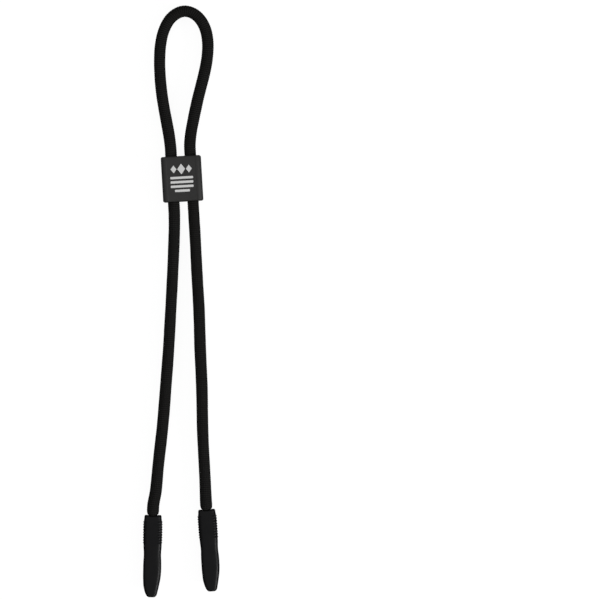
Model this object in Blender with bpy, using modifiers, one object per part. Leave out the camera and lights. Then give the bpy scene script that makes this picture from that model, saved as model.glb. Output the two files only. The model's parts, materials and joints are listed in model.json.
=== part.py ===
"""Eyeglass retainer strap, lying flat: a soft round cord doubled through a flat slider, with a rubber
tip on each end that is pushed over a pair of spectacles' temple arm. Metres, +Z up, +Y towards the loop.
The origin is the middle of the face that the slider rests on."""

import math

import bmesh
import bpy
import numpy as np
from mathutils import Matrix, Vector

# Driving dimensions
CORD_D = 0.0058  # the relaxed cord
CORD_NECK_D = 0.0044  # the cord where a tip's end wall draws it in
CORD_HELD_D = 0.0028  # the cord squeezed through the end wall and its ferrule
CORD_TAPER = 0.0030  # the length above a tip over which the cord narrows to its neck
CORD_AIM = 0.0015  # above that, the cord already points along the tip
GAP = 0.0003  # clearance between pieces that touch or slide

CHANNEL_PITCH = 0.0099  # between the slider's two cord channels
SLIDER_LENGTH = 0.0231
SLIDER_FACE_WALL = 0.0013  # over and under a channel
SLIDER_SIDE_WALL = 0.00205  # beside a channel
SLIDER_SIDE_R = 0.0027  # the long side edges
SLIDER_END_R = 0.0004  # the edges round both ends
SLIDER_TURN = math.radians(3.3)  # how far the slider lies turned from +Y
CHANNEL_SIDES = 24

TIP_LENGTH = 0.0415
TIP_WIDTH = 0.0094
TIP_WALL = 0.00075
TIP_END_WALL = 0.0025  # the closed end that the cord passes through
TIP_LIP_STEP = 0.0030  # how much longer the upper lip of the mouth is than the lower
TIP_MOUTH_WALL = 0.0004  # beside the socket, where the mouth is narrowest
TIP_MOUTH_RUN = 0.0012  # the socket keeps its mouth's width this far before the tip's end
COUNTERSINK_D = 0.0052
COUNTERSINK_DEPTH = 0.0012
RIB_COUNT = 9
RIB_PITCH = 0.00133
RIB_HEIGHT = 0.0002
RIB_START = 0.0030  # from the tip's end wall to the first rib
RIB_WRAP = 0.4  # the outer share of each half of the face over which a rib fades out

FERRULE_LENGTH = 0.0060
FERRULE_WALL = 0.0004
FERRULE_GROOVES = 2
FERRULE_GROOVE = 0.00012  # depth of each crimp mark
FERRULE_GROOVE_FLOOR = 0.0003  # half the width of a crimp mark's floor
FERRULE_GROOVE_TOP = 0.0006  # half the width of a crimp mark's top
CUTTER_RUN = 0.002  # a cutter runs this far past the end that it opens

# Sizes that follow from the ones above
CHANNEL_D = CORD_D + 2 * GAP
SLIDER_WIDTH = CHANNEL_PITCH + CHANNEL_D + 2 * SLIDER_SIDE_WALL
SLIDER_THICK = CHANNEL_D + 2 * SLIDER_FACE_WALL
HOLE_D = CORD_HELD_D + 2 * GAP
FERRULE_D = HOLE_D + 2 * FERRULE_WALL
SOCKET_THICK = FERRULE_D + 2 * GAP
TIP_THICK = SOCKET_THICK + 2 * TIP_WALL

# The cord's route on the surface, as (x, y, height above the cord's resting height).
# The stretch through the slider's channels is worked out between the leg and the loop.
LEFT_LEG = [
    (-0.0138, -0.1612, 0.0001),
    (-0.0127, -0.1515, 0.0),
    (-0.0103, -0.1290, 0.0),
    (-0.0083, -0.1055, 0.0),
    (-0.0069, -0.0860, 0.0),
    (-0.0057, -0.0650, 0.0),
    (-0.0048, -0.0470, 0.0001),
    (-0.0041, -0.0310, 0.0006),
]
LOOP = [
    (-0.0079, 0.0290, 0.0006),
    (-0.0103, 0.0430, 0.0001),
    (-0.0115, 0.0580, 0.0),
    (-0.0110, 0.0685, 0.0),
    (-0.0086, 0.0775, 0.0),
    (-0.0040, 0.0836, 0.0),
    (0.0015, 0.0856, 0.0),
    (0.0072, 0.0834, 0.0),
    (0.0116, 0.0770, 0.0),
    (0.0131, 0.0670, 0.0),
    (0.0115, 0.0547, 0.0),
    (0.0084, 0.0425, 0.0001),
    (0.0056, 0.0295, 0.0006),
]
RIGHT_LEG = [
    (0.0067, -0.0310, 0.0006),
    (0.0075, -0.0470, 0.0001),
    (0.0085, -0.0650, 0.0),
    (0.0092, -0.0860, 0.0),
    (0.0100, -0.1055, 0.0),
    (0.0105, -0.1290, 0.0),
    (0.0115, -0.1500, 0.0),
    (0.0119, -0.1583, 0.0001),
]
CHANNEL_RUN = (0.0016, 0.0048)  # the cord stays straight this far inside and past a channel's mouth
CORD_POINT_SPACING = 2 * CORD_D
TUBE_RESOLUTION = 4

# Each tip: where its end wall's middle lies, how far its mouth leans towards +X, and the last two
# points of its cord's leg, where it arrives at its neck
SIDES = {
    "left": ((-0.01485, -0.1713), math.radians(-0.83), (LEFT_LEG[1], LEFT_LEG[0])),
    "right": ((0.01245, -0.1684), math.radians(4.15), (RIGHT_LEG[-2], RIGHT_LEG[-1])),
}

# A tip's plan outline: (distance from the end wall as a share of the length, share of the width,
# sideways shift in metres). The socket follows it inside.
TIP_OUTLINE = [
    (0.000, 0.78, 0.0),
    (0.008, 0.86, 0.0),
    (0.022, 0.92, 0.0),
    (0.048, 0.97, 0.0),
    (0.090, 1.00, 0.0),
    (0.300, 1.00, 0.0),
    (0.400, 0.98, 0.0),
    (0.460, 0.94, 0.0),
    (0.510, 0.93, 0.0),
    (0.570, 0.965, 0.0),
    (0.660, 0.98, 0.0),
    (0.740, 0.965, -0.0001),
    (0.815, 0.91, -0.0003),
    (0.885, 0.825, -0.0004),
    (0.925, 0.745, -0.0004),
    (0.962, 0.64, -0.0003),
    (0.980, 0.58, -0.0002),
    (1.000, 0.48, -0.0001),
]
TIP_THICK_OUTLINE = [(0.0, 0.78), (0.01, 0.88), (0.025, 0.95), (0.05, 1.0), (1.0, 1.0)]
TIP_SQUARENESS = 3.2  # superellipse power of the outer section
SOCKET_SQUARENESS = 6.0
SECTION_POINTS = 24
WELD_DISTANCE = 0.000001
SQUARE_EDGE_DEGREES = 60  # edges at least this sharp are the ones that get rounded


def fresh_collections():
    """Removes every object, and returns the collections for the parts and the cutters."""
    for obj in list(bpy.data.objects):
        bpy.data.objects.remove(obj)
    made = []
    for name in ("eyeglass_retainer_strap", "cutters"):
        collection = bpy.data.collections.new(name)
        bpy.context.scene.collection.children.link(collection)
        made.append(collection)
    return made


def material(name, colour, roughness, metallic=0.0):
    mat = bpy.data.materials.new(name)
    mat.use_nodes = True
    shader = mat.node_tree.nodes["Principled BSDF"]
    shader.inputs["Base Color"].default_value = (*colour, 1.0)
    shader.inputs["Roughness"].default_value = roughness
    shader.inputs["Metallic"].default_value = metallic
    return mat


def add_object(name, data, collection, mat=None):
    obj = bpy.data.objects.new(name, data)
    collection.objects.link(obj)
    if mat:
        data.materials.append(mat)
    return obj


def make_cutter(obj):
    obj.hide_render = True
    obj.display_type = "WIRE"
    return obj


def cut(obj, cutter):
    modifier = obj.modifiers.new("cut_" + cutter.name, "BOOLEAN")
    modifier.operation = "DIFFERENCE"
    modifier.solver = "EXACT"
    modifier.object = cutter


def shade_round(mesh, sharp_degrees=35):
    mesh.shade_smooth()
    mesh.set_sharp_from_angle(angle=math.radians(sharp_degrees))


# The cord


def smooth_curve(points, samples=1500):
    """A natural cubic spline through the points, as a fine polyline and the length so far at each point."""
    p = np.array(points, float)
    t = np.concatenate([[0], np.cumsum(np.linalg.norm(np.diff(p, axis=0), axis=1))])
    h = np.diff(t)
    n = len(p)
    system = np.eye(n)
    slopes = np.zeros_like(p)
    for i in range(1, n - 1):
        system[i, i - 1 : i + 2] = h[i - 1], 2 * (h[i - 1] + h[i]), h[i]
        slopes[i] = 6 * ((p[i + 1] - p[i]) / h[i] - (p[i] - p[i - 1]) / h[i - 1])
    m = np.linalg.solve(system, slopes)
    at = np.linspace(0, t[-1], samples)
    k = np.clip(np.searchsorted(t, at, side="right") - 1, 0, n - 2)
    a, b, w = (t[k + 1] - at)[:, None], (at - t[k])[:, None], h[k][:, None]
    line = (m[k] * a**3 + m[k + 1] * b**3) / (6 * w)
    line += (p[k] / w - m[k] * w / 6) * a + (p[k + 1] / w - m[k + 1] * w / 6) * b
    run = np.concatenate([[0], np.cumsum(np.linalg.norm(np.diff(line, axis=0), axis=1))])
    return line, run


def spaced(line, run, start, end, spacing):
    """Points evenly spaced along a fine polyline, between two lengths along it."""
    at = np.linspace(start, end, max(2, round((end - start) / spacing) + 1))
    return np.stack([np.interp(at, run, line[:, i]) for i in range(3)], axis=1)


def channel_points(side, upwards):
    """The cord's points through one channel of the slider, from one mouth to the other."""
    inside, past = CHANNEL_RUN
    half = SLIDER_LENGTH / 2
    turn = Matrix.Rotation(SLIDER_TURN, 3, "Z")
    lift = (SLIDER_THICK - CORD_D) / 2
    stops = [-half - past, -half + inside, half - inside, half + past]
    found = [turn @ Vector((side * CHANNEL_PITCH / 2, stop, lift)) for stop in stops]
    return [tuple(p) for p in (found if upwards else reversed(found))]


def cord_route():
    """The centreline from the left tip's neck, through the slider, round the loop and back."""
    flat = LEFT_LEG + channel_points(-1, True) + LOOP + channel_points(1, False) + RIGHT_LEG
    return [(x, y, CORD_D / 2 + lift) for x, y, lift in flat]


def tube(name, points, collection, mat, radii=None):
    """A tube with filled caps along the points. radii are given where the tube isn't CORD_D thick."""
    curve = bpy.data.curves.new(name, "CURVE")
    curve.dimensions = "3D"
    curve.bevel_depth = CORD_D / 2
    curve.bevel_resolution = TUBE_RESOLUTION
    curve.use_fill_caps = True
    curve.render_resolution_u = 0
    spline = curve.splines.new("POLY")
    spline.points.add(len(points) - 1)
    for i, (point, at) in enumerate(zip(spline.points, points, strict=True)):
        point.co = (*at, 1.0)
        point.radius = radii[i] / (CORD_D / 2) if radii else 1.0
    return add_object(name, curve, collection, mat)


def make_cord(collection, mat):
    line, run = smooth_curve(cord_route())
    line[:, 2] = np.maximum(line[:, 2], CORD_D / 2)
    points = spaced(line, run, 0, run[-1], CORD_POINT_SPACING)
    return tube("cord", points, collection, mat)


def make_cord_end(side, frame, collection, mat):
    """The cord from its neck, where it bends, through the tip's end wall to the far end of its ferrule."""
    before, pivot = [Vector((x, y, CORD_D / 2 + lift)) for x, y, lift in SIDES[side][2]]
    end = TIP_END_WALL + 2 * GAP + FERRULE_LENGTH
    stations = [
        (-CORD_TAPER - CORD_AIM, CORD_D),
        (-CORD_TAPER, CORD_D),
        (-CORD_TAPER / 2, (CORD_D + CORD_NECK_D) / 2),
        (0.0, CORD_NECK_D),
        (COUNTERSINK_DEPTH, CORD_HELD_D),
        (end, CORD_HELD_D),
    ]
    points = [frame @ Vector((0, -at, 0)) for at, _ in stations]
    aim = (points[0] - pivot).normalized()
    bend_sine = (pivot - before).normalized().cross(aim).length
    start = pivot + (GAP + bend_sine * CORD_D / 2) * aim
    radii = [CORD_D / 2] + [d / 2 for _, d in stations]
    obj = tube("cord_end_" + side, [p - pivot for p in [start, *points]], collection, mat, radii)
    obj.location = pivot
    return obj


# The slider


def arc(cx, cy, radius, start, end, steps):
    """Points on an arc between two angles in degrees, both ends included."""
    angles = [math.radians(start + (end - start) * i / steps) for i in range(steps + 1)]
    return [(cx + radius * math.cos(a), cy + radius * math.sin(a)) for a in angles]


def rounded_rectangle(width, height, radius, steps=6):
    x, y = width / 2 - radius, height / 2 - radius
    points = []
    for quarter, (cx, cy) in enumerate([(x, y), (-x, y), (-x, -y), (x, -y)]):
        points += arc(cx, cy, radius, 90 * quarter, 90 * quarter + 90, steps)
    return points


def make_slider(collection, mat):
    """A flat tube with a channel for each run of the cord, extruded along its length."""
    side_radius = min(SLIDER_SIDE_R, SLIDER_THICK / 2 - SLIDER_END_R)
    loops = [rounded_rectangle(SLIDER_WIDTH, SLIDER_THICK, side_radius)]
    for side in (-1, 1):
        loops.append(arc(side * CHANNEL_PITCH / 2, 0, CHANNEL_D / 2, 0, 360, CHANNEL_SIDES)[:-1])
    curve = bpy.data.curves.new("slider_outline", "CURVE")
    curve.dimensions = "2D"
    curve.fill_mode = "BOTH"
    curve.extrude = SLIDER_LENGTH / 2
    curve.render_resolution_u = 0
    for loop in loops:
        spline = curve.splines.new("POLY")
        spline.points.add(len(loop) - 1)
        for point, (x, y) in zip(spline.points, loop, strict=True):
            point.co = (x, y, 0.0, 1.0)
        spline.use_cyclic_u = True
    source = add_object("slider_outline", curve, collection)
    bpy.context.view_layer.update()
    mesh = bpy.data.meshes.new_from_object(source.evaluated_get(bpy.context.evaluated_depsgraph_get()))
    bpy.data.objects.remove(source)
    bm = bmesh.new()
    bm.from_mesh(mesh)
    bmesh.ops.remove_doubles(bm, verts=bm.verts, dist=WELD_DISTANCE)
    bmesh.ops.recalc_face_normals(bm, faces=bm.faces)
    bm.to_mesh(mesh)
    bm.free()
    mesh.name = "slider"
    slider = add_object("slider", mesh, collection, mat)
    slider.location = (0, 0, SLIDER_THICK / 2)
    slider.rotation_euler = (-math.pi / 2, 0, SLIDER_TURN)
    bevel = slider.modifiers.new("rounded_ends", "BEVEL")
    bevel.width = SLIDER_END_R
    bevel.segments = 2
    bevel.limit_method = "ANGLE"
    bevel.angle_limit = math.radians(SQUARE_EDGE_DEGREES)
    shade_round(mesh)
    return slider


# The tips


def along(outline, share, column=1):
    """A column of an outline, read at a share of the tip's length."""
    return float(np.interp(share, [row[0] for row in outline], [row[column] for row in outline]))


def rib_depth(distance):
    """How far the grip ribs stand out of a narrow edge at this distance from the end wall."""
    turns = (distance - RIB_START) / RIB_PITCH
    if not -0.5 <= turns <= RIB_COUNT - 0.5:
        return 0.0
    return RIB_HEIGHT * (0.5 + 0.5 * math.cos(2 * math.pi * turns))


def section(distance, width, thick, power, shift=0.0, rib=0.0):
    """A ring of points round the tip's axis, which runs along -Y from the end wall."""
    points = []
    for k in range(SECTION_POINTS):
        angle = 2 * math.pi * k / SECTION_POINTS
        c, s = math.cos(angle), math.sin(angle)
        across = math.copysign(abs(c) ** (2 / power), c)
        up = math.copysign(abs(s) ** (2 / power), s)
        edge = max(0.0, 1 - (1 - abs(across)) / RIB_WRAP)
        x = shift + across * width / 2 + math.copysign(edge * rib, c)
        points.append((x, -distance, up * thick / 2))
    return points


def loft(name, sections, collection, mat=None):
    """A closed solid through rings of points, capped at both ends."""
    bm = bmesh.new()
    rings = [[bm.verts.new(p) for p in ring] for ring in sections]
    for a, b in zip(rings, rings[1:], strict=False):
        for i in range(len(a)):
            j = (i + 1) % len(a)
            bm.faces.new((a[i], b[i], b[j], a[j]))
    bm.faces.new(rings[0])
    bm.faces.new(reversed(rings[-1]))
    bmesh.ops.recalc_face_normals(bm, faces=bm.faces)
    mesh = bpy.data.meshes.new(name)
    bm.to_mesh(mesh)
    bm.free()
    return add_object(name, mesh, collection, mat)


def tip_size(distance, wall=0.0):
    """The tip's width, thickness and sideways shift at a distance, less a wall on both sides."""
    share = distance / TIP_LENGTH
    width = TIP_WIDTH * along(TIP_OUTLINE, share) - 2 * wall
    thick = TIP_THICK * along(TIP_THICK_OUTLINE, share) - 2 * wall
    return width, thick, along(TIP_OUTLINE, share, 2)


def tip_sections():
    """The outer rings: the outline's stations, and a crest and a hollow for each rib."""
    ribs = [RIB_START + RIB_PITCH * (k / 2 - 0.5) for k in range(2 * RIB_COUNT + 1)]
    clear = RIB_PITCH / 4
    stations = [row[0] * TIP_LENGTH for row in TIP_OUTLINE]
    stations = [d for d in stations if not ribs[0] - clear < d < ribs[-1] + clear] + ribs
    rings = []
    for d in sorted(stations):
        width, thick, shift = tip_size(d)
        rings.append(section(d, width, thick, TIP_SQUARENESS, shift, rib_depth(d)))
    return rings


def socket_sections():
    """The hollow from the end wall to past the mouth. It is one wall inside the outline, as far as the
    lower lip, and then narrows to the mouth."""
    mouth = TIP_LENGTH - TIP_MOUTH_RUN
    stations = [row[0] * TIP_LENGTH for row in TIP_OUTLINE]
    stations = [d for d in stations if TIP_END_WALL + TIP_WALL < d < TIP_LENGTH - TIP_LIP_STEP]
    rings = []
    for d in [TIP_END_WALL, *stations]:
        width, thick, shift = tip_size(d, TIP_WALL)
        rings.append(section(d, width, thick, SOCKET_SQUARENESS, shift))
    width = tip_size(mouth, TIP_MOUTH_WALL)[0]
    thick = tip_size(mouth, TIP_WALL)[1]
    for d in (mouth, TIP_LENGTH + CUTTER_RUN):
        rings.append(section(d, width, thick, SOCKET_SQUARENESS))
    return rings


def round_cutter(name, near_radius, far_radius, near, far, collection):
    """A round cutter on the tip's axis, from one distance past the end wall to another."""
    mesh = bpy.data.meshes.new(name)
    bm = bmesh.new()
    radii = {"radius1": near_radius, "radius2": far_radius}
    bmesh.ops.create_cone(bm, cap_ends=True, segments=SECTION_POINTS, depth=far - near, **radii)
    bmesh.ops.rotate(bm, verts=bm.verts, cent=(0, 0, 0), matrix=Matrix.Rotation(math.pi / 2, 3, "X"))
    bmesh.ops.translate(bm, verts=bm.verts, vec=(0, -(near + far) / 2, 0))
    bm.to_mesh(mesh)
    bm.free()
    return make_cutter(add_object(name, mesh, collection))


def mouth_cutter(name, collection):
    """A block whose face trims the mouth at a slant, through the end of the upper lip."""
    size = 4 * TIP_WIDTH
    slant = math.atan2(TIP_LIP_STEP, TIP_THICK)
    mesh = bpy.data.meshes.new(name)
    bm = bmesh.new()
    bmesh.ops.create_cube(bm, size=size)
    bmesh.ops.translate(bm, verts=bm.verts, vec=(0, -size / 2, 0))
    bmesh.ops.rotate(bm, verts=bm.verts, cent=(0, 0, 0), matrix=Matrix.Rotation(slant, 3, "X"))
    bmesh.ops.translate(bm, verts=bm.verts, vec=(0, TIP_LIP_STEP / 2 - TIP_LENGTH, 0))
    bm.to_mesh(mesh)
    bm.free()
    return make_cutter(add_object(name, mesh, collection))


def make_tip(side, collection, cutters, mat):
    """A rubber sleeve: closed round the cord at one end, open to the temple arm at the other."""
    tip = loft("tip_" + side, tip_sections(), collection, mat)
    hole = (HOLE_D / 2, HOLE_D / 2, -GAP, TIP_END_WALL + GAP)
    sink_radii = [countersink_radius(at) for at in (-GAP, COUNTERSINK_DEPTH)]
    tools = [
        make_cutter(loft("socket_" + side, socket_sections(), cutters)),
        round_cutter("cord_hole_" + side, *hole, cutters),
        round_cutter("countersink_" + side, *sink_radii, -GAP, COUNTERSINK_DEPTH, cutters),
        mouth_cutter("mouth_" + side, cutters),
    ]
    for tool in tools:
        cut(tip, tool)
    shade_round(tip.data)
    return [tip, *tools]


def countersink_radius(distance):
    """The cord hole's widened mouth narrows evenly from the end wall's face to its depth."""
    return (COUNTERSINK_D + (HOLE_D - COUNTERSINK_D) * distance / COUNTERSINK_DEPTH) / 2


# The ferrules


def ferrule_profile():
    """Half the ring's section: down the crimped outer side, then up the bore."""
    inner, outer = HOLE_D / 2, FERRULE_D / 2
    chamfer = FERRULE_WALL / 4
    half = FERRULE_LENGTH / 2
    points = [(outer - chamfer, half), (outer, half - chamfer)]
    for k in range(FERRULE_GROOVES):
        middle = half - FERRULE_LENGTH * (k + 1) / (FERRULE_GROOVES + 1)
        points += [
            (outer, middle + FERRULE_GROOVE_TOP),
            (outer - FERRULE_GROOVE, middle + FERRULE_GROOVE_FLOOR),
            (outer - FERRULE_GROOVE, middle - FERRULE_GROOVE_FLOOR),
            (outer, middle - FERRULE_GROOVE_TOP),
        ]
    points += [(outer, chamfer - half), (outer - chamfer, -half), (inner, -half), (inner, half)]
    return points


def make_ferrule(side, collection, mat):
    """A crimp ring on the cord's end, behind the tip's end wall, turned from its profile."""
    mesh = bpy.data.meshes.new("ferrule_" + side)
    profile = ferrule_profile()
    verts = [(x, 0, z) for x, z in profile]
    edges = [(i, (i + 1) % len(profile)) for i in range(len(profile))]
    mesh.from_pydata(verts, edges, [])
    obj = add_object("ferrule_" + side, mesh, collection, mat)
    screw = obj.modifiers.new("turned", "SCREW")
    screw.angle = 2 * math.pi
    screw.steps = SECTION_POINTS
    screw.render_steps = SECTION_POINTS
    screw.use_merge_vertices = True
    screw.merge_threshold = WELD_DISTANCE
    screw.use_smooth_shade = False
    obj.rotation_euler = (math.pi / 2, 0, 0)
    obj.location = (0, -(TIP_END_WALL + GAP + FERRULE_LENGTH / 2), 0)
    return obj


def make_end(side, parts, cutters, mats):
    """One tip with its ferrule, held by an empty on the tip's own axis, and the end of cord in it."""
    (x, y), lean, _ = SIDES[side]
    axis = bpy.data.objects.new("tip_axis_" + side, None)
    parts.objects.link(axis)
    axis.location = (x, y, TIP_THICK / 2)
    axis.rotation_euler = (0, 0, lean)
    frame = Matrix.Translation(axis.location) @ Matrix.Rotation(lean, 4, "Z")
    held = [*make_tip(side, parts, cutters, mats["tip"]), make_ferrule(side, parts, mats["ferrule"])]
    for obj in held:
        obj.parent = axis
    make_cord_end(side, frame, parts, mats["cord"])


def main():
    parts, cutters = fresh_collections()
    mats = {
        "cord": material("cord_knit", (0.010, 0.010, 0.011), 0.85),
        "slider": material("slider_plastic", (0.035, 0.035, 0.036), 0.5),
        "tip": material("tip_rubber", (0.012, 0.012, 0.014), 0.6),
        "ferrule": material("ferrule_metal", (0.75, 0.75, 0.76), 0.3, 1.0),
    }
    make_cord(parts, mats["cord"])
    make_slider(parts, mats["slider"])
    for side in SIDES:
        make_end(side, parts, cutters, mats)


main()
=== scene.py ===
"""The looks of an eyeglass retainer strap that lies flat: a knitted cord doubled through a moulded
slider, with a ribbed rubber sleeve on each end. Metres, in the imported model's own frame. The sleeves'
and the print's own sizes are in millimetres."""

import json
import math

import bmesh
import bpy
import numpy as np
from mathutils import Matrix, Vector


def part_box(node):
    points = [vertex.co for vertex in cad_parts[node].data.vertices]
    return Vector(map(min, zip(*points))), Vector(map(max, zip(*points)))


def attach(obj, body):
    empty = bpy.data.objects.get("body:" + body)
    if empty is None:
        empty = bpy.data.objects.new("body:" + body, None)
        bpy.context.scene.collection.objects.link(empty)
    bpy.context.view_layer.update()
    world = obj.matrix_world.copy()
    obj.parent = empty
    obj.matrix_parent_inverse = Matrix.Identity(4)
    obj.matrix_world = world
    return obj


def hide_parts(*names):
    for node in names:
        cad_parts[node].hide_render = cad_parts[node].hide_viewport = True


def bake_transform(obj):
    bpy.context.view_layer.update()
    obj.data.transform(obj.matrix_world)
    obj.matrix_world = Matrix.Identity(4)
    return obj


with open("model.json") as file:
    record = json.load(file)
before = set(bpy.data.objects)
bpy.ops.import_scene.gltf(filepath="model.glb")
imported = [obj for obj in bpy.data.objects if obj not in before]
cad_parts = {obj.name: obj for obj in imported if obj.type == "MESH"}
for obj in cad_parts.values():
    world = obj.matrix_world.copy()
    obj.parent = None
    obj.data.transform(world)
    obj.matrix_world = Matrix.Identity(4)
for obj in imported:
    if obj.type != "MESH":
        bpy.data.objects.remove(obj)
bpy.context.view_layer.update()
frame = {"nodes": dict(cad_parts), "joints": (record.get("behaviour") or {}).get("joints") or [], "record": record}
JOINTS = {joint["name"]: joint for joint in frame["joints"]}
SIDES = ("left", "right")

# The cord
CORD_D = 0.0058
CORD_NECK_D = 0.0044  # where a sleeve's end wall draws it in
CORD_HELD_D = 0.0028  # inside the end wall and the ferrule
NECK_TAPER = 0.0026  # the length above a sleeve over which the cord narrows
NECK_STRAIGHT = 0.0045  # its middle goes on straight this far above a sleeve
SQUEEZE_END, SQUEEZE_RUN = 0.0011, 0.0010  # how far in it is thinnest, over what length
NECK_SWELL, NECK_SWELL_RUN = 0.07, 0.024  # how much fatter it gets towards a sleeve, over what length
SLACK, SLACK_PERIOD, SLACK_PEAK = 0.02, 0.135, 0.053  # slow changes of its thickness along its length
CHANNEL_PITCH = 0.0099  # between the middles of the slider's two channels
CHANNEL_RUN = (0.0016, 0.0048)  # the cord stays straight this far inside and past a channel's mouth

# Its knit
COURSE = 0.00105  # a row of stitches, which shows as a rib round the cord
RINGS_A_COURSE = 6
CORD_SIDES = 80
WALES = 20  # the columns of stitches
STITCH_SLANT = 0.36  # how far a stitch's middle is ahead of its sides, in courses
STITCH_DEPTH, STITCH_POWER, STITCH_LEVEL = 0.00020, 0.8, 0.65  # its relief, roundness, mean level
COLUMN_DEPTH, COLUMN_POWER, COLUMN_LEVEL = 0.00010, 0.6, 0.6
UNEVEN = 0.00005
WAVES = [  # of the unevenness: radians a metre along the cord, periods round it, phase and share
    (310, 2, 0.0, 1.0),
    (173, -1, 1.3, 1.0),
    (790, 3, 0.4, 0.5),
]
COURSES_COUNTED = 64  # the knit layer's count starts again after this many

# Where the cord's pieces meet
END_SEAM = 0.0165  # above a neck, where a leg of the cord meets its end piece

# The cord's route, as (x, y, height above its resting height)
LEFT_LEG = [
    (-0.0138, -0.1612, 0.0001),
    (-0.0127, -0.1515, 0.0),
    (-0.0103, -0.1290, 0.0),
    (-0.0083, -0.1055, 0.0),
    (-0.0069, -0.0860, 0.0),
    (-0.0057, -0.0650, 0.0),
    (-0.0048, -0.0470, 0.0001),
    (-0.0041, -0.0310, 0.0006),
]
LOOP = [
    (-0.0079, 0.0290, 0.0006),
    (-0.0103, 0.0430, 0.0001),
    (-0.0115, 0.0580, 0.0),
    (-0.0110, 0.0685, 0.0),
    (-0.0086, 0.0775, 0.0),
    (-0.0040, 0.0836, 0.0),
    (0.0015, 0.0856, 0.0),
    (0.0072, 0.0834, 0.0),
    (0.0116, 0.0770, 0.0),
    (0.0131, 0.0670, 0.0),
    (0.0115, 0.0547, 0.0),
    (0.0084, 0.0425, 0.0001),
    (0.0056, 0.0295, 0.0006),
]
RIGHT_LEG = [
    (0.0067, -0.0310, 0.0006),
    (0.0075, -0.0470, 0.0001),
    (0.0085, -0.0650, 0.0),
    (0.0092, -0.0860, 0.0),
    (0.0100, -0.1055, 0.0),
    (0.0105, -0.1290, 0.0),
    (0.0115, -0.1500, 0.0),
    (0.0119, -0.1583, 0.0001),
]

# The sleeves, in millimetres from the end wall that the cord enters
TIP_LENGTH = 41.5
TIP_WALL = 0.75
TIP_END_WALL = 2.5
TIP_POWER, SOCKET_POWER = 3.2, 4.5  # how square the sections are: 2 is an ellipse
TIP_LEAST = 0.3  # no ring comes closer to its middle than this at the sides
TIP_SIDES = 96
TIP_RINGS = 60
TIP_SHARP_ANGLE = 50  # degrees
TIP_WIDTHS = [
    (1.8, 8.80),
    (2.5, 9.02),
    (4.4, 9.40),
    (8.0, 9.44),
    (11.5, 9.40),
    (16.8, 9.16),
    (19.0, 8.84),
    (21.0, 8.80),
    (23.2, 9.06),
    (26.0, 9.22),
    (28.4, 9.20),
    (31.0, 9.04),
    (33.5, 8.62),
    (36.0, 7.95),
    (37.6, 7.30),
    (39.2, 6.50),
    (40.3, 5.80),
    (41.0, 5.10),
    (TIP_LENGTH, 4.30),
]
TIP_THICKS = [
    (1.8, 5.95),
    (2.6, 6.15),
    (4.0, 6.3),
    (17.0, 6.3),
    (22.0, 6.1),
    (29.0, 6.25),
    (TIP_LENGTH, 6.3),
]
TIP_SHIFTS = [
    (0.0, 0.0),
    (27.0, -0.03),
    (33.0, -0.22),
    (36.5, -0.44),
    (39.0, -0.42),
    (TIP_LENGTH, -0.15),
]
RIM_END = 1.8  # where the rounded rim at the cord's end goes over into the sides
RIM_DIP = 0.7  # how much further down the rim's crest is at the faces than at the sides
RIM_FOOT = 0.35  # how far its inner edge is below its crest
RIM_STEPS = 18
FUNNEL_RADIUS, FUNNEL_SLOPE = 2.6, 0.72  # the cord hole's countersink, and how it narrows with depth
HOLE_RADIUS = 1.7
HOLE_STATIONS = (TIP_END_WALL, 1.9, 1.25)
GRIP_FIRST, GRIP_PITCH, GRIP_COUNT = 3.55, 1.33, 9
GRIP_HEIGHT, GRIP_POWER = 0.26, 0.7
GRIP_REACH, GRIP_FADE = 2.6, 1.1  # how far the ribs come in from the edges, and how fast they fade there
GRIP_RINGS = 10  # for each rib
SLANT_FROM, SLANT_RUN = 0.66, 0.34  # where the sleeve takes on its mouth's slant, as shares of its length
LIP_STEP = 3.0  # how much longer the upper lip is than the lower
LIP_WALL, LIP_RUN = 0.55, 4.0  # the wall at the mouth, and the length over which it thickens inwards
LIP_STEPS = 8
SOCKET_FROM, SOCKET_TO = 5.0, 0.6  # where its even walls start below the mouth, end above the floor
SOCKET_RINGS = 24
SOCKET_FLOOR_INSETS = (1.0, 1.5)

# The slider
SLIDER_SIDE_RADIUS, SLIDER_END_RADIUS = 0.0024, 0.0009
SLIDER_SHARP_ANGLE = 28  # degrees
DISH_DEPTH, DISH_SLOPE = 0.00018, 0.0008  # how far its faces are let in, and over what width
CHANNEL_GAP = 0.0003  # round the cord
CHANNEL_FLARE = 0.00035
CHANNEL_SIDES = 48
CUT_PAST = 0.001  # how far a cutter goes on past the slider
END_STEPS, FLARE_STEPS = 6, 5  # in the rounds at its ends and at its channels' mouths

# Its print, in millimetres from the face's middle
PRINT_RAISE = 0.00002  # in metres
PRINT_BARS = [(0.5, 11.6), (-1.7, 11.6), (-3.9, 11.6), (-6.1, 7.6)]  # the place and width of each
PRINT_BAR_HEIGHT, PRINT_BAR_CORNER = 1.2, 0.35
PRINT_DIAMONDS = [(-3.9, 1.5, 2.0), (0.0, 2.0, 2.7), (3.9, 1.5, 2.0)]  # place, half width, half height
PRINT_DIAMOND_Y = 4.9

# The studio
FLOOR_SIZE = 16
FLOOR_DROP = 0.0020  # below the strap, so that a sleeve that is turned on edge stays clear
TENT = [(0.1, 0.03), (0.9, 0.58)]  # the sine of the height above the horizon, and the brightness there
LIGHTS_AIM = (0, -0.05, 0)
SOFTBOXES = [  # name, place, width and length, and watts
    ("softbox_right", (1.15, -0.45, 0.62), (0.5, 0.4), 9),
    ("softbox_left", (-1.1, 0.4, 1.1), (0.9, 1.2), 1.5),
]
LENS = 200
CLIP_END = 20
PICTURE_WIDTH, PICTURE_LEVEL = 0.306, 0.003  # the width that the picture shows, at this height
PICTURE_MIDDLE = (0.0601, -0.0617)


# Materials


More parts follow.
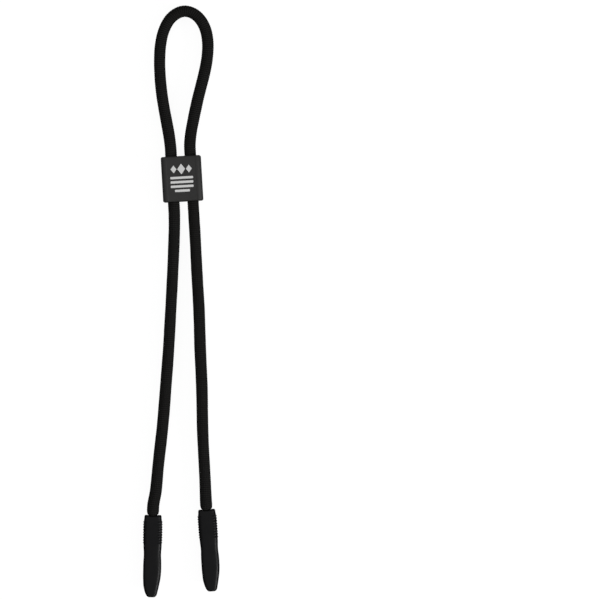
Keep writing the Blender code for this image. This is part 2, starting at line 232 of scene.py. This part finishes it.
class Nodes:
    """A short way to write a material's nodes."""

    def __init__(self, name, colour, roughness, **sockets):
        self.material = bpy.data.materials.new(name)
        self.material.use_nodes = True
        self.tree = self.material.node_tree
        self.shader = self.tree.nodes["Principled BSDF"]
        self.shader.inputs["Base Color"].default_value = (*colour, 1)
        self.shader.inputs["Roughness"].default_value = roughness
        for socket, value in sockets.items():
            self.shader.inputs[socket.replace("_", " ")].default_value = value

    def add(self, kind, inputs=(), **settings):
        node = self.tree.nodes.new("ShaderNode" + kind)
        for key, value in settings.items():
            setattr(node, key, value)
        for key, value in dict(inputs).items():
            if isinstance(value, bpy.types.NodeSocket):
                self.tree.links.new(value, node.inputs[key])
            else:
                node.inputs[key].default_value = value
        return node

    def math(self, operation, a, b=0.0):
        return self.add("Math", {0: a, 1: b}, operation=operation).outputs[0]

    def place(self):
        return self.add("TexCoord").outputs["Object"]

    def noise(self, scale, detail, roughness=0.55, vector=None):
        inputs = {"Scale": scale, "Detail": detail, "Roughness": roughness}
        inputs["Vector"] = vector or self.place()
        return self.add("TexNoise", inputs).outputs["Fac"]

    def spread(self, value, low, high, to_low=0.0, to_high=1.0):
        inputs = {"Value": value, "From Min": low, "From Max": high, "To Min": to_low, "To Max": to_high}
        return self.add("MapRange", inputs).outputs[0]

    def mix(self, share, a, b):
        """A colour between two colours. Each is a triple or a socket."""
        node = self.add("Mix", {0: share}, data_type="RGBA")
        for index, value in ((6, a), (7, b)):
            if isinstance(value, bpy.types.NodeSocket):
                self.tree.links.new(value, node.inputs[index])
            else:
                node.inputs[index].default_value = (*value, 1)
        return node.outputs[2]

    def colour(self, socket):
        self.tree.links.new(socket, self.shader.inputs["Base Color"])

    def roughness(self, socket):
        self.tree.links.new(socket, self.shader.inputs["Roughness"])

    def bump(self, height, distance, strength):
        bump = self.add("Bump", {"Height": height, "Distance": distance, "Strength": strength})
        self.tree.links.new(bump.outputs["Normal"], self.shader.inputs["Normal"])


def knit_material():
    """Courses of small knitted stitches, with painted shade in the grooves between them and painted light on their
    crests. The UV layer counts courses along the cord and wales round it.
    """
    n = Nodes("cord_knit", (0.0075, 0.0074, 0.0072), 0.86, Sheen_Weight=0.01, Sheen_Roughness=0.5)
    n.shader.inputs["Specular IOR Level"].default_value = 0.05
    split = n.add("SeparateXYZ", {0: n.add("UVMap", uv_map="knit").outputs[0]})
    course, wale = split.outputs[0], split.outputs[1]
    aside = n.math("ABSOLUTE", n.math("SUBTRACT", n.math("FRACT", wale), 0.5))
    middle = n.spread(aside, 0.5, 0.0)
    slanted = n.math("ADD", course, n.math("MULTIPLY", middle, STITCH_SLANT))
    # painted light and shade: the colour is lighter on each course's crest and darker in the groove between two
    # courses
    painted_crest_light = n.spread(n.math("COSINE", n.math("MULTIPLY", slanted, 2 * math.pi)), 0.9, -0.6)
    strands = n.math("SINE", n.math("MULTIPLY", slanted, 8 * math.pi))
    fibre = n.noise(5200, 2.0, 0.6)
    drift = n.noise(60, 2.0)
    fuzz = n.math("ADD", n.math("MULTIPLY", strands, 0.25), n.math("MULTIPLY", fibre, 0.9))
    n.bump(fuzz, 0.00007, 0.9)
    # painted shade: darker again in the grooves between the columns of stitches
    painted_light_share = n.math("MULTIPLY", painted_crest_light, n.spread(middle, 0.0, 0.5, 0.45, 1.0))
    # the dark colour is the painted shade in the grooves, the light one the painted light on the crests
    tone = n.mix(painted_light_share, (0.0046, 0.0046, 0.0047), (0.0245, 0.0240, 0.0234))
    lint = n.spread(n.noise(2600, 2.0, 0.7), 0.62, 0.85, 0.0, 0.35)
    tone = n.mix(lint, tone, (0.019, 0.0185, 0.018))
    tone = n.mix(n.spread(drift, 0.35, 0.7, 0.0, 0.45), tone, (0.0125, 0.0115, 0.0104))
    n.colour(tone)
    n.roughness(n.spread(fibre, 0.3, 0.7, 0.78, 0.95))
    return n.material


def slider_material():
    """Charcoal moulded plastic with a fine spark-eroded texture and a few handling marks."""
    n = Nodes("slider_plastic", (0.029, 0.0288, 0.0285), 0.5)
    n.shader.inputs["Specular IOR Level"].default_value = 0.24
    grain = n.noise(6500, 3.0, 0.6)
    cloud = n.noise(170, 4.0, 0.6)
    streaks = {"Vector": n.place(), "Rotation": (0, 0, 0.6), "Scale": (2600, 110, 700)}
    scratch = n.noise(1.0, 2.0, 0.5, n.add("Mapping", streaks).outputs[0])
    marks = n.spread(scratch, 0.66, 0.74, 0.0, 0.5)
    n.bump(n.math("ADD", grain, n.math("MULTIPLY", marks, -0.6)), 0.00004, 0.55)
    tone = n.mix(n.spread(cloud, 0.3, 0.7), (0.0315, 0.0310, 0.0306), (0.0395, 0.0389, 0.0383))
    tone = n.mix(n.spread(grain, 0.55, 0.8, 0.0, 0.5), tone, (0.052, 0.0515, 0.051))
    n.colour(tone)
    rough = n.spread(cloud, 0.3, 0.7, 0.44, 0.56)
    n.roughness(n.math("ADD", rough, n.math("MULTIPLY", marks, 0.12)))
    return n.material


def rubber_material():
    """Satin black rubber, faintly blue, with a fine moulded skin and a little dust."""
    n = Nodes("tip_rubber", (0.0058, 0.0059, 0.0065), 0.46)
    n.shader.inputs["Specular IOR Level"].default_value = 0.16
    skin = n.noise(5200, 4.0, 0.62)
    cloud = n.noise(210, 3.0, 0.6)
    n.bump(skin, 0.00005, 0.5)
    tone = n.mix(n.spread(cloud, 0.3, 0.72), (0.0042, 0.0043, 0.0049), (0.0064, 0.0064, 0.0071))
    dust = n.spread(n.noise(1500, 3.0, 0.7), 0.66, 0.82, 0.0, 0.35)
    n.colour(n.mix(dust, tone, (0.020, 0.020, 0.021)))
    n.roughness(n.spread(cloud, 0.3, 0.7, 0.34, 0.44))
    return n.material


def ink_material():
    """Light grey pad-printed ink, a little thin in places."""
    n = Nodes("print_ink", (0.62, 0.62, 0.62), 0.5)
    thin = n.spread(n.noise(2300, 4.0, 0.65), 0.56, 0.76, 0.0, 0.5)
    n.colour(n.mix(thin, (0.84, 0.84, 0.835), (0.50, 0.50, 0.50)))
    n.roughness(n.spread(n.noise(900, 2.0), 0.3, 0.7, 0.42, 0.6))
    n.bump(n.noise(5000, 2.0), 0.00001, 0.4)
    return n.material


def ferrule_material():
    """Aluminium with fine turning marks round it."""
    n = Nodes("ferrule_metal", (0.77, 0.77, 0.78), 0.34, Metallic=1.0)
    rings = {"Vector": n.place(), "Scale": (300, 9000, 300)}
    lines = n.noise(1.0, 2.0, 0.5, n.add("Mapping", rings).outputs[0])
    n.bump(lines, 0.00001, 0.6)
    n.roughness(n.spread(lines, 0.3, 0.7, 0.26, 0.44))
    n.colour(n.mix(n.spread(n.noise(400, 2.0), 0.3, 0.7), (0.72, 0.72, 0.73), (0.82, 0.82, 0.83)))
    return n.material


def floor_material():
    """A pale light table: it glows softly, so that shadows on it stay faint."""
    glow = {"Emission_Color": (1, 1, 1, 1), "Emission_Strength": 0.93}
    n = Nodes("floor_paper", (0.16, 0.16, 0.16), 0.9, **glow)
    n.shader.inputs["Specular IOR Level"].default_value = 0.1
    n.colour(n.mix(n.noise(3.0, 2.0), (0.155, 0.155, 0.155), (0.165, 0.165, 0.165)))
    return n.material


# Frames and curves


def turned_frame(point, direction):
    """A frame at a point whose -Y runs along a level direction."""
    angle = math.atan2(direction[0], -direction[1])
    return Matrix.Translation(point) @ Matrix.Rotation(angle, 4, "Z")


def local_size(node, place):
    """The size of a CAD node, measured in a frame of its own."""
    inverse = place.inverted()
    points = np.array([inverse @ v.co for v in frame["nodes"][node].data.vertices])
    return Vector(points.max(0) - points.min(0))


def smooth_curve(points, samples=9000):
    """A natural cubic spline through the points: a fine polyline, and the length so far at each point."""
    p = np.array(points, float)
    t = np.concatenate([[0], np.cumsum(np.linalg.norm(np.diff(p, axis=0), axis=1))])
    h = np.diff(t)
    n = len(p)
    system = np.eye(n)
    slopes = np.zeros_like(p)
    for i in range(1, n - 1):
        system[i, i - 1 : i + 2] = h[i - 1], 2 * (h[i - 1] + h[i]), h[i]
        slopes[i] = 6 * ((p[i + 1] - p[i]) / h[i] - (p[i] - p[i - 1]) / h[i - 1])
    m = np.linalg.solve(system, slopes)
    at = np.linspace(0, t[-1], samples)
    k = np.clip(np.searchsorted(t, at, side="right") - 1, 0, n - 2)
    a, b, w = (t[k + 1] - at)[:, None], (at - t[k])[:, None], h[k][:, None]
    line = (m[k] * a**3 + m[k + 1] * b**3) / (6 * w)
    line += (p[k] / w - m[k] * w / 6) * a + (p[k + 1] / w - m[k + 1] * w / 6) * b
    run = np.concatenate([[0], np.cumsum(np.linalg.norm(np.diff(line, axis=0), axis=1))])
    return line, run


def eased(table, at):
    """A smooth reading of a table of (place, value) rows, without overshoot."""
    x = np.array([row[0] for row in table], float)
    y = np.array([row[1] for row in table], float)
    steps = np.diff(y) / np.diff(x)
    slopes = np.zeros_like(y)
    for i in range(1, len(x) - 1):
        if steps[i - 1] * steps[i] > 0:
            slopes[i] = 2 / (1 / steps[i - 1] + 1 / steps[i])
    slopes[0], slopes[-1] = steps[0], steps[-1]
    at = np.clip(at, x[0], x[-1])
    k = np.clip(np.searchsorted(x, at, side="right") - 1, 0, len(x) - 2)
    h = x[k + 1] - x[k]
    t = (at - x[k]) / h
    rise = (2 * t**3 - 3 * t**2 + 1) * y[k] + (t**3 - 2 * t**2 + t) * h * slopes[k]
    return rise + (3 * t**2 - 2 * t**3) * y[k + 1] + (t**3 - t**2) * h * slopes[k + 1]


def ease(x):
    """From 0 to 1, slow at both ends."""
    x = np.clip(x, 0, 1)
    return x * x * (3 - 2 * x)


def angles_round(sides):
    return np.arange(sides) / sides * 2 * math.pi


def rings_mesh(name, rings, closed=False):
    """A mesh through rings of points. Both ends are capped, unless the last ring joins the first."""
    count, sides = len(rings), len(rings[0])
    index = np.arange(count * sides).reshape(count, sides)
    a = index if closed else index[:-1]
    b = np.roll(index, -1, axis=0) if closed else index[1:]
    quads = np.stack([a, np.roll(a, -1, axis=1), np.roll(b, -1, axis=1), b], axis=-1).reshape(-1, 4)
    faces = quads.tolist()
    if not closed:
        faces += [index[0][::-1].tolist(), index[-1].tolist()]
    mesh = bpy.data.meshes.new(name)
    mesh.from_pydata(np.concatenate(rings).tolist(), [], faces)
    mesh.validate()
    mesh.shade_smooth()
    return mesh


def add_piece(name, mesh, material):
    mesh.materials.append(material)
    obj = bpy.data.objects.new(name, mesh)
    bpy.context.scene.collection.objects.link(obj)
    return obj


# The cord's pieces

SLIDER_FRAME = turned_frame((0, 0, 0), [-x for x in JOINTS["slider_slide"]["axis"]])
SLIDER_SIZE = local_size("slider", SLIDER_FRAME)
TIP_FRAMES = {
    side: turned_frame(JOINTS[f"tip_{side}_twist"]["pos_m"], JOINTS[f"tip_{side}_twist"]["axis"])
    for side in SIDES
}
NECKS = {side: Vector(JOINTS[f"neck_{side}_swing"]["pos_m"]) for side in SIDES}


def channel_point(side, along=0.0):
    """A point in the middle of a channel, this far along the slider from its middle."""
    return SLIDER_FRAME @ Vector((side * CHANNEL_PITCH / 2, along, SLIDER_SIZE.z / 2))


def channel_points(side, upwards):
    """The cord's points through one channel of the slider, from one mouth to the other."""
    inside, past = CHANNEL_RUN
    half = SLIDER_SIZE.y / 2
    stops = [-half - past, -half + inside, half - inside, half + past]
    found = [channel_point(side, stop) for stop in stops]
    return found if upwards else found[::-1]


def held_points(side):
    """The cord's points in a sleeve, from the ferrule's far end to just above the end wall."""
    end = TIP_FRAMES[side].inverted() @ (sum(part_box("ferrule_" + side), Vector()) / 2)
    deepest = 2 * end.y + TIP_END_WALL / 1000
    return [TIP_FRAMES[side] @ Vector((0, y, 0)) for y in (deepest, deepest / 2, 0.0, NECK_STRAIGHT)]


def cord_route():
    """The points along the cord's middle, from the left ferrule round the loop to the right one."""
    parts = [[(x, y, CORD_D / 2 + up) for x, y, up in part] for part in (LEFT_LEG, LOOP, RIGHT_LEG)]
    left, loop, right = parts
    points = held_points("left") + left + channel_points(-1, True) + loop
    return points + channel_points(1, False) + right + held_points("right")[::-1]


def knit_relief(along, around):
    """How far the knit stands out, at these lengths along the cord and these angles round it."""
    middle = 1 - 2 * np.abs((around / (2 * math.pi) * WALES) % 1 - 0.5)  # 1 in a column, 0 between two
    stitch = np.abs(np.sin(math.pi * (along / COURSE + STITCH_SLANT * middle))) ** STITCH_POWER
    relief = STITCH_DEPTH * (stitch - STITCH_LEVEL) + COLUMN_DEPTH * (middle**COLUMN_POWER - COLUMN_LEVEL)
    waves = (share * np.sin(along * wave + turns * around + phase) for wave, turns, phase, share in WAVES)
    return relief + UNEVEN * sum(waves) / sum(row[-1] for row in WAVES)


def count_stitches(mesh, first):
    """A UV layer of courses along and wales round. Its seam falls between whole wales."""
    loops = np.zeros(len(mesh.loops), np.int32)
    mesh.loops.foreach_get("vertex_index", loops)
    ring, side = loops // CORD_SIDES, loops % CORD_SIDES
    starts = np.zeros(len(mesh.polygons), np.int32)
    totals = np.zeros(len(mesh.polygons), np.int32)
    mesh.polygons.foreach_get("loop_start", starts)
    mesh.polygons.foreach_get("loop_total", totals)
    face = np.repeat(np.arange(len(starts)), totals)
    widest = np.zeros(len(starts), np.int32)
    np.maximum.at(widest, face, side)
    wrapped = (side == 0) & (widest[face] == CORD_SIDES - 1) & (totals[face] == 4)
    around = (side + CORD_SIDES * wrapped) / CORD_SIDES * WALES
    layer = mesh.uv_layers.new(name="knit")
    uv = np.stack([first % COURSES_COUNTED + ring / RINGS_A_COURSE, around], axis=1).astype(np.float32)
    layer.uv.foreach_set("vector", uv.ravel())


class Cord:
    """The whole cord's centreline, read by the length along it."""

    def __init__(self):
        self.line, self.run = smooth_curve([tuple(p) for p in cord_route()])
        self.walls = [self.nearest(TIP_FRAMES[side].translation) for side in SIDES]
        self.line[:, 2] = np.maximum(self.line[:, 2], self.radius(self.run))

    def nearest(self, point):
        return float(self.run[np.argmin(np.linalg.norm(self.line - np.array(point), axis=1))])

    def at(self, lengths):
        return np.stack([np.interp(lengths, self.run, self.line[:, i]) for i in range(3)], axis=1)

    def radius(self, lengths):
        """It swells a little before each sleeve, narrows to its neck there, and is squeezed inside it."""
        above = np.minimum(lengths - self.walls[0], self.walls[1] - lengths)
        slack = 1 + SLACK * np.cos(2 * math.pi * (lengths - SLACK_PEAK) / SLACK_PERIOD)
        full = CORD_D * slack * (1 + NECK_SWELL * ease(1 - above / NECK_SWELL_RUN))
        narrowing = np.sqrt(1 - (1 - np.clip(above / NECK_TAPER, 0, 1)) ** 2)
        neck = CORD_NECK_D + (full - CORD_NECK_D) * narrowing
        held = CORD_HELD_D + (CORD_NECK_D - CORD_HELD_D) * ease((above + SQUEEZE_END) / SQUEEZE_RUN)
        return np.where(above > 0, neck, held) / 2

    def crosswise(self, lengths):
        """The directions to the cord's side and up from it, at these lengths."""
        ahead = self.at(lengths + COURSE) - self.at(lengths - COURSE)
        ahead /= np.linalg.norm(ahead, axis=1)[:, None]
        aside = np.cross((0.0, 0.0, 1.0), ahead)
        aside /= np.linalg.norm(aside, axis=1)[:, None]
        return aside, np.cross(ahead, aside)

    def piece(self, name, start, end, material):
        """A stretch of the cord between two lengths, rounded to whole courses, so that the ribs run on."""
        first, last = round(start / COURSE), round(end / COURSE)
        lengths = np.linspace(first, last, (last - first) * RINGS_A_COURSE + 1) * COURSE
        centres = self.at(lengths)
        aside, up = self.crosswise(lengths)
        around = angles_round(CORD_SIDES)[None, :]
        fade = np.clip(self.radius(lengths) / (CORD_D / 2), 0, 1)[:, None]
        radius = self.radius(lengths)[:, None] + fade * knit_relief(lengths[:, None], around)
        rings = centres[:, None, :] + radius[:, :, None] * (
            np.cos(around)[:, :, None] * aside[:, None, :] + np.sin(around)[:, :, None] * up[:, None, :]
        )
        mesh = rings_mesh(name, list(rings))
        count_stitches(mesh, first)
        obj = add_piece(name, mesh, material)
        return obj, centres[::RINGS_A_COURSE], (last - first) * COURSE


def declare(body):
    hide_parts(*frame["record"]["behaviour"]["bodies"][body])


def make_cord(material):
    """The cord as a loop, two legs and two end pieces; the CAD parts of the bodies they stand for are hidden."""
    cord = Cord()
    middles = [cord.nearest(channel_point(side)) for side in (-1, 1)]
    necks = [cord.nearest(NECKS[side]) for side in SIDES]
    seams = [necks[0] + END_SEAM, necks[1] - END_SEAM]

    loop, path, length = cord.piece("cord_loop", middles[0], middles[1], material)
    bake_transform(loop)
    declare("cord")

    legs = (("left", seams[0], middles[0]), ("right", middles[1], seams[1]))
    for side, start, end in legs:
        leg, path, length = cord.piece(f"cord_leg_{side}", start, end, material)
        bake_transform(leg)
        declare("cord")

    ends = (("left", necks[0], 1, 0.0, seams[0]), ("right", necks[1], -1, seams[1], float(cord.run[-1])))
    for side, neck, inward, start, end in ends:
        piece, path, length = cord.piece(f"cord_end_piece_{side}", start, end, material)
        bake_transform(piece)
        declare("cord_end_" + side)


# The sleeves


def superellipse(angle, power):
    c, s = np.cos(angle), np.sin(angle)
    return np.sign(c) * np.abs(c) ** (2 / power), np.sign(s) * np.abs(s) ** (2 / power)


def lip_cut(height, thick):
    """How much shorter than the upper lip the mouth is at this height: a soft S down the side."""
    return LIP_STEP * ease(0.5 - height / thick)


def tip_ring(nominal, inset=0.0, power=TIP_POWER):
    """A ring of the sleeve's surface, at a distance from its end wall and one inset inside its outline."""
    across, up = superellipse(angles_round(TIP_SIDES), power)
    thick = eased(TIP_THICKS, nominal)
    z = up * (thick / 2 - inset)
    late = ease((nominal - SLANT_FROM * TIP_LENGTH) / (SLANT_RUN * TIP_LENGTH))
    d = nominal - late * lip_cut(up * thick / 2, thick)
    width = eased(TIP_WIDTHS, d)
    x = across * np.maximum(width / 2 - inset, TIP_LEAST)
    turns = (nominal - GRIP_FIRST) / GRIP_PITCH
    if inset == 0 and -0.5 < turns < GRIP_COUNT - 0.5:
        crest = np.maximum(0, np.cos(2 * math.pi * turns)) ** GRIP_POWER
        reach = ease((np.abs(across) * width / 2 - width / 2 + GRIP_REACH) / GRIP_FADE)
        x = x + np.sign(across) * GRIP_HEIGHT * crest * reach * np.abs(across)
        z = z + np.sign(up) * GRIP_HEIGHT * crest * reach * np.abs(up)
    return np.stack([x + eased(TIP_SHIFTS, d), -d, z], axis=1)


def rim_rings():
    """The rounded end that the cord enters, from inside its hole out to the sleeve's side."""
    outer = tip_ring(RIM_END)
    far = np.hypot(outer[:, 0], outer[:, 2])
    c, s = outer[:, 0] / far, outer[:, 2] / far
    dip = RIM_DIP * np.abs(s) ** 2
    depth = dip + RIM_FOOT
    near = FUNNEL_RADIUS - FUNNEL_SLOPE * depth
    middle, half = (near + far) / 2, (far - near) / 2
    rings = []
    for d in HOLE_STATIONS:
        rings.append(np.stack([HOLE_RADIUS * c, np.full_like(c, -d), HOLE_RADIUS * s], axis=1))
    for phi in np.linspace(0, math.pi, RIM_STEPS + 1)[:-1]:
        out = -math.copysign(abs(math.cos(phi)) ** (2 / TIP_POWER), math.cos(phi))
        rise = math.sin(phi) ** (2 / TIP_POWER)
        radius = middle + half * out
        foot = depth if phi < math.pi / 2 else RIM_END
        d = foot * (1 - rise) + dip * rise
        rings.append(np.stack([radius * c, -np.broadcast_to(d, c.shape), radius * s], axis=1))
    return rings


def side_rings():
    """The sleeve's outside, closely ringed over its grip."""
    grip_end = GRIP_FIRST + GRIP_PITCH * GRIP_COUNT
    grip = np.arange(RIM_END, grip_end, GRIP_PITCH / GRIP_RINGS)
    return [tip_ring(d) for d in (*grip, *np.linspace(grip_end, TIP_LENGTH, TIP_RINGS))]


def lip_rings():
    """The mouth's rounded lip, from the outside in."""
    rings = []
    for phi in np.linspace(0, math.pi, LIP_STEPS + 1)[1:-1]:
        ring = tip_ring(TIP_LENGTH, LIP_WALL * (1 - math.cos(phi)) / 2)
        ring[:, 1] -= LIP_WALL / 2 * math.sin(phi)
        rings.append(ring)
    return rings


def socket_rings():
    """The socket, from the mouth to its floor."""
    rings = []
    for d in np.linspace(TIP_LENGTH, TIP_LENGTH - LIP_RUN, LIP_STEPS + 1):
        inset = LIP_WALL + (TIP_WALL - LIP_WALL) * (TIP_LENGTH - d) / LIP_RUN
        rings.append(tip_ring(d, inset, SOCKET_POWER))
    for d in np.linspace(TIP_LENGTH - SOCKET_FROM, TIP_END_WALL + SOCKET_TO, SOCKET_RINGS):
        rings.append(tip_ring(d, TIP_WALL, SOCKET_POWER))
    return rings + [tip_ring(TIP_END_WALL, inset, SOCKET_POWER) for inset in SOCKET_FLOOR_INSETS]


def make_tips(material):
    rings = rim_rings() + side_rings() + lip_rings() + socket_rings()
    for side, place in TIP_FRAMES.items():
        name = "tip_sleeve_" + side
        mesh = rings_mesh(name, [ring / 1000 for ring in rings], closed=True)
        mesh.set_sharp_from_angle(angle=math.radians(TIP_SHARP_ANGLE))
        mesh.transform(place)
        tip = add_piece(name, mesh, material)
        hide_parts("tip_" + side)
        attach(tip, "tip_" + side)


# The ferrules


def dress_ferrules(material):
    """They stay the CAD's own, with a finer metal."""
    for side in SIDES:
        node = frame["nodes"]["ferrule_" + side]
        node.data.materials.clear()
        node.data.materials.append(material)


# The slider


def rounded_outline(width, height, radius, steps=10):
    points = []
    for quarter, (sx, sy) in enumerate([(1, 1), (-1, 1), (-1, -1), (1, -1)]):
        cx, cy = sx * (width / 2 - radius), sy * (height / 2 - radius)
        for i in range(steps + 1):
            a = math.radians(90 * quarter + 90 * i / steps)
            points.append((cx + radius * math.cos(a), cy + radius * math.sin(a)))
    return np.array(points)


def dished(outline, steps=8):
    """The slider's outline with its front and back faces let in a little between their sides."""
    corner = len(outline) // 4
    across = np.linspace(0, 1, steps + 1)
    places = SLIDER_SIZE.x / 2 - SLIDER_SIDE_RADIUS - DISH_SLOPE * across
    let_in = DISH_DEPTH * ease(across)
    top = outline[corner - 1, 1]
    right = np.stack([places, top - let_in], axis=1)
    face = np.concatenate([right, (right * (-1, 1))[::-1]])
    first, middle, last = outline[:corner], outline[corner : 3 * corner], outline[3 * corner :]
    return np.concatenate([first, face, middle, -face, last])


def slider_rings():
    """Rings along the slider, drawn in at both ends by a small round."""
    half = SLIDER_SIZE.y / 2
    stations = []
    for turn in np.linspace(0, math.pi / 2, END_STEPS + 1):
        inset = SLIDER_END_RADIUS * (1 - math.sin(turn))
        stations.append((inset, half - SLIDER_END_RADIUS + SLIDER_END_RADIUS * math.cos(turn)))
    stations += [(inset, -y) for inset, y in stations[::-1]]
    rings = []
    for inset, y in stations:
        width, thick = SLIDER_SIZE.x - 2 * inset, SLIDER_SIZE.z - 2 * inset
        outline = dished(rounded_outline(width, thick, SLIDER_SIDE_RADIUS - inset))
        z = outline[:, 1] + SLIDER_SIZE.z / 2
        rings.append(np.stack([outline[:, 0], np.full(len(outline), y), z], axis=1))
    return rings


def channel_cutter(side):
    """A channel with rounded mouths, as a turned solid along the slider."""
    radius, half = CORD_D / 2 + CHANNEL_GAP, SLIDER_SIZE.y / 2
    profile = [(radius + CHANNEL_FLARE, half + CUT_PAST)]
    for turn in np.linspace(0, math.pi / 2, FLARE_STEPS + 1):
        wider, inwards = CHANNEL_FLARE * (1 - math.sin(turn)), CHANNEL_FLARE * (1 - math.cos(turn))
        profile.append((radius + wider, half - inwards))
    profile += [(r, -y) for r, y in profile[::-1]]
    angle = angles_round(CHANNEL_SIDES)
    rings = []
    for r, y in profile:
        x = side * CHANNEL_PITCH / 2 + r * np.cos(angle)
        z = SLIDER_SIZE.z / 2 + r * np.sin(angle)
        rings.append(np.stack([x, np.full(CHANNEL_SIDES, y), z], axis=1))
    obj = bpy.data.objects.new("channel_cutter", rings_mesh("channel_cutter", rings))
    bpy.context.scene.collection.objects.link(obj)
    return obj


def apply_cuts(obj, cutters):
    """Cuts the cutters out of obj, keeps the result as its mesh, and removes the cutters."""
    for cutter in cutters:
        modifier = obj.modifiers.new("cut", "BOOLEAN")
        modifier.operation = "DIFFERENCE"
        modifier.object = cutter
    bpy.context.view_layer.update()
    evaluated = obj.evaluated_get(bpy.context.evaluated_depsgraph_get())
    mesh = bpy.data.meshes.new_from_object(evaluated)
    obj.modifiers.clear()
    obj.data = mesh
    for cutter in cutters:
        bpy.data.objects.remove(cutter)
    return mesh


def make_slider(material):
    slider = add_piece("slider_body", rings_mesh("slider_body", slider_rings()), material)
    mesh = apply_cuts(slider, [channel_cutter(side) for side in (-1, 1)])
    bm = bmesh.new()
    bm.from_mesh(mesh)
    bmesh.ops.recalc_face_normals(bm, faces=bm.faces)
    bm.to_mesh(mesh)
    bm.free()
    mesh.shade_smooth()
    mesh.set_sharp_from_angle(angle=math.radians(SLIDER_SHARP_ANGLE))
    mesh.transform(SLIDER_FRAME)
    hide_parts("slider")
    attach(slider, "slider")


def print_shape(name, outline, material):
    """A thin printed shape on the slider's face."""
    curve = bpy.data.curves.new(name, "CURVE")
    curve.dimensions = "2D"
    curve.fill_mode = "BOTH"
    curve.extrude = PRINT_RAISE
    spline = curve.splines.new("POLY")
    spline.points.add(len(outline) - 1)
    for point, (x, y) in zip(spline.points, outline, strict=True):
        point.co = (x / 1000, y / 1000, 0, 1)
    spline.use_cyclic_u = True
    obj = bpy.data.objects.new(name, curve)
    bpy.context.scene.collection.objects.link(obj)
    obj.matrix_world = SLIDER_FRAME @ Matrix.Translation((0, 0, SLIDER_SIZE.z - DISH_DEPTH))
    curve.materials.append(material)
    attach(obj, "slider")


def make_print(material):
    """A row of plain diamonds over plain bars."""
    for index, (x, across, up) in enumerate(PRINT_DIAMONDS):
        corners = np.array([(across, 0), (0, up), (-across, 0), (0, -up)])
        print_shape(f"print_diamond_{index + 1}", corners + (x, PRINT_DIAMOND_Y), material)
    for index, (y, width) in enumerate(PRINT_BARS):
        bar = rounded_outline(width, PRINT_BAR_HEIGHT, PRINT_BAR_CORNER)
        print_shape(f"print_bar_{index + 1}", bar + (0, y), material)


# The stage


def make_stage(material):
    bpy.ops.mesh.primitive_plane_add(size=FLOOR_SIZE, location=(0, 0, -FLOOR_DROP))
    floor = bpy.context.object
    floor.name = "floor"
    floor.data.materials.append(material)
    floor.visible_diffuse = False  # its glow doesn't light the strap's dark edges
    floor.visible_glossy = False


def area_light(name, place, size, power):
    light = bpy.data.lights.new(name, "AREA")
    light.shape = "RECTANGLE"
    light.size, light.size_y = size
    light.energy = power
    obj = bpy.data.objects.new(name, light)
    bpy.context.scene.collection.objects.link(obj)
    obj.location = place
    obj.rotation_mode = "QUATERNION"
    obj.rotation_quaternion = (Vector(LIGHTS_AIM) - Vector(place)).to_track_quat("-Z", "Y")


def make_lights():
    """A studio tent, brightest overhead, with a small strong softbox at the right and a large weak one
    at the left."""
    world = bpy.data.worlds.new("studio")
    bpy.context.scene.world = world
    world.use_nodes = True
    tree = world.node_tree
    background = tree.nodes["Background"]
    split = tree.nodes.new("ShaderNodeSeparateXYZ")
    ramp = tree.nodes.new("ShaderNodeValToRGB")
    tree.links.new(tree.nodes.new("ShaderNodeTexCoord").outputs["Generated"], split.inputs[0])
    tree.links.new(split.outputs["Z"], ramp.inputs["Fac"])
    tree.links.new(ramp.outputs["Color"], background.inputs["Color"])
    for element, (place, level) in zip(ramp.color_ramp.elements, TENT, strict=True):
        element.position = place
        element.color = (level, level, level, 1)
    for softbox in SOFTBOXES:
        area_light(*softbox)
    bpy.context.scene.view_settings.view_transform = "Standard"


def make_camera():
    """Straight above, far to the right of the strap, so that it lies along the picture's left."""
    data = bpy.data.cameras.new("camera")
    data.lens = LENS
    data.clip_end = CLIP_END
    camera = bpy.data.objects.new("camera", data)
    bpy.context.scene.collection.objects.link(camera)
    camera.location = (*PICTURE_MIDDLE, PICTURE_LEVEL + PICTURE_WIDTH * data.lens / data.sensor_width)
    bpy.context.scene.camera = camera


def main():
    make_camera()
    make_cord(knit_material())
    make_tips(rubber_material())
    make_slider(slider_material())
    make_print(ink_material())
    dress_ferrules(ferrule_material())
    make_stage(floor_material())
    make_lights()


main()
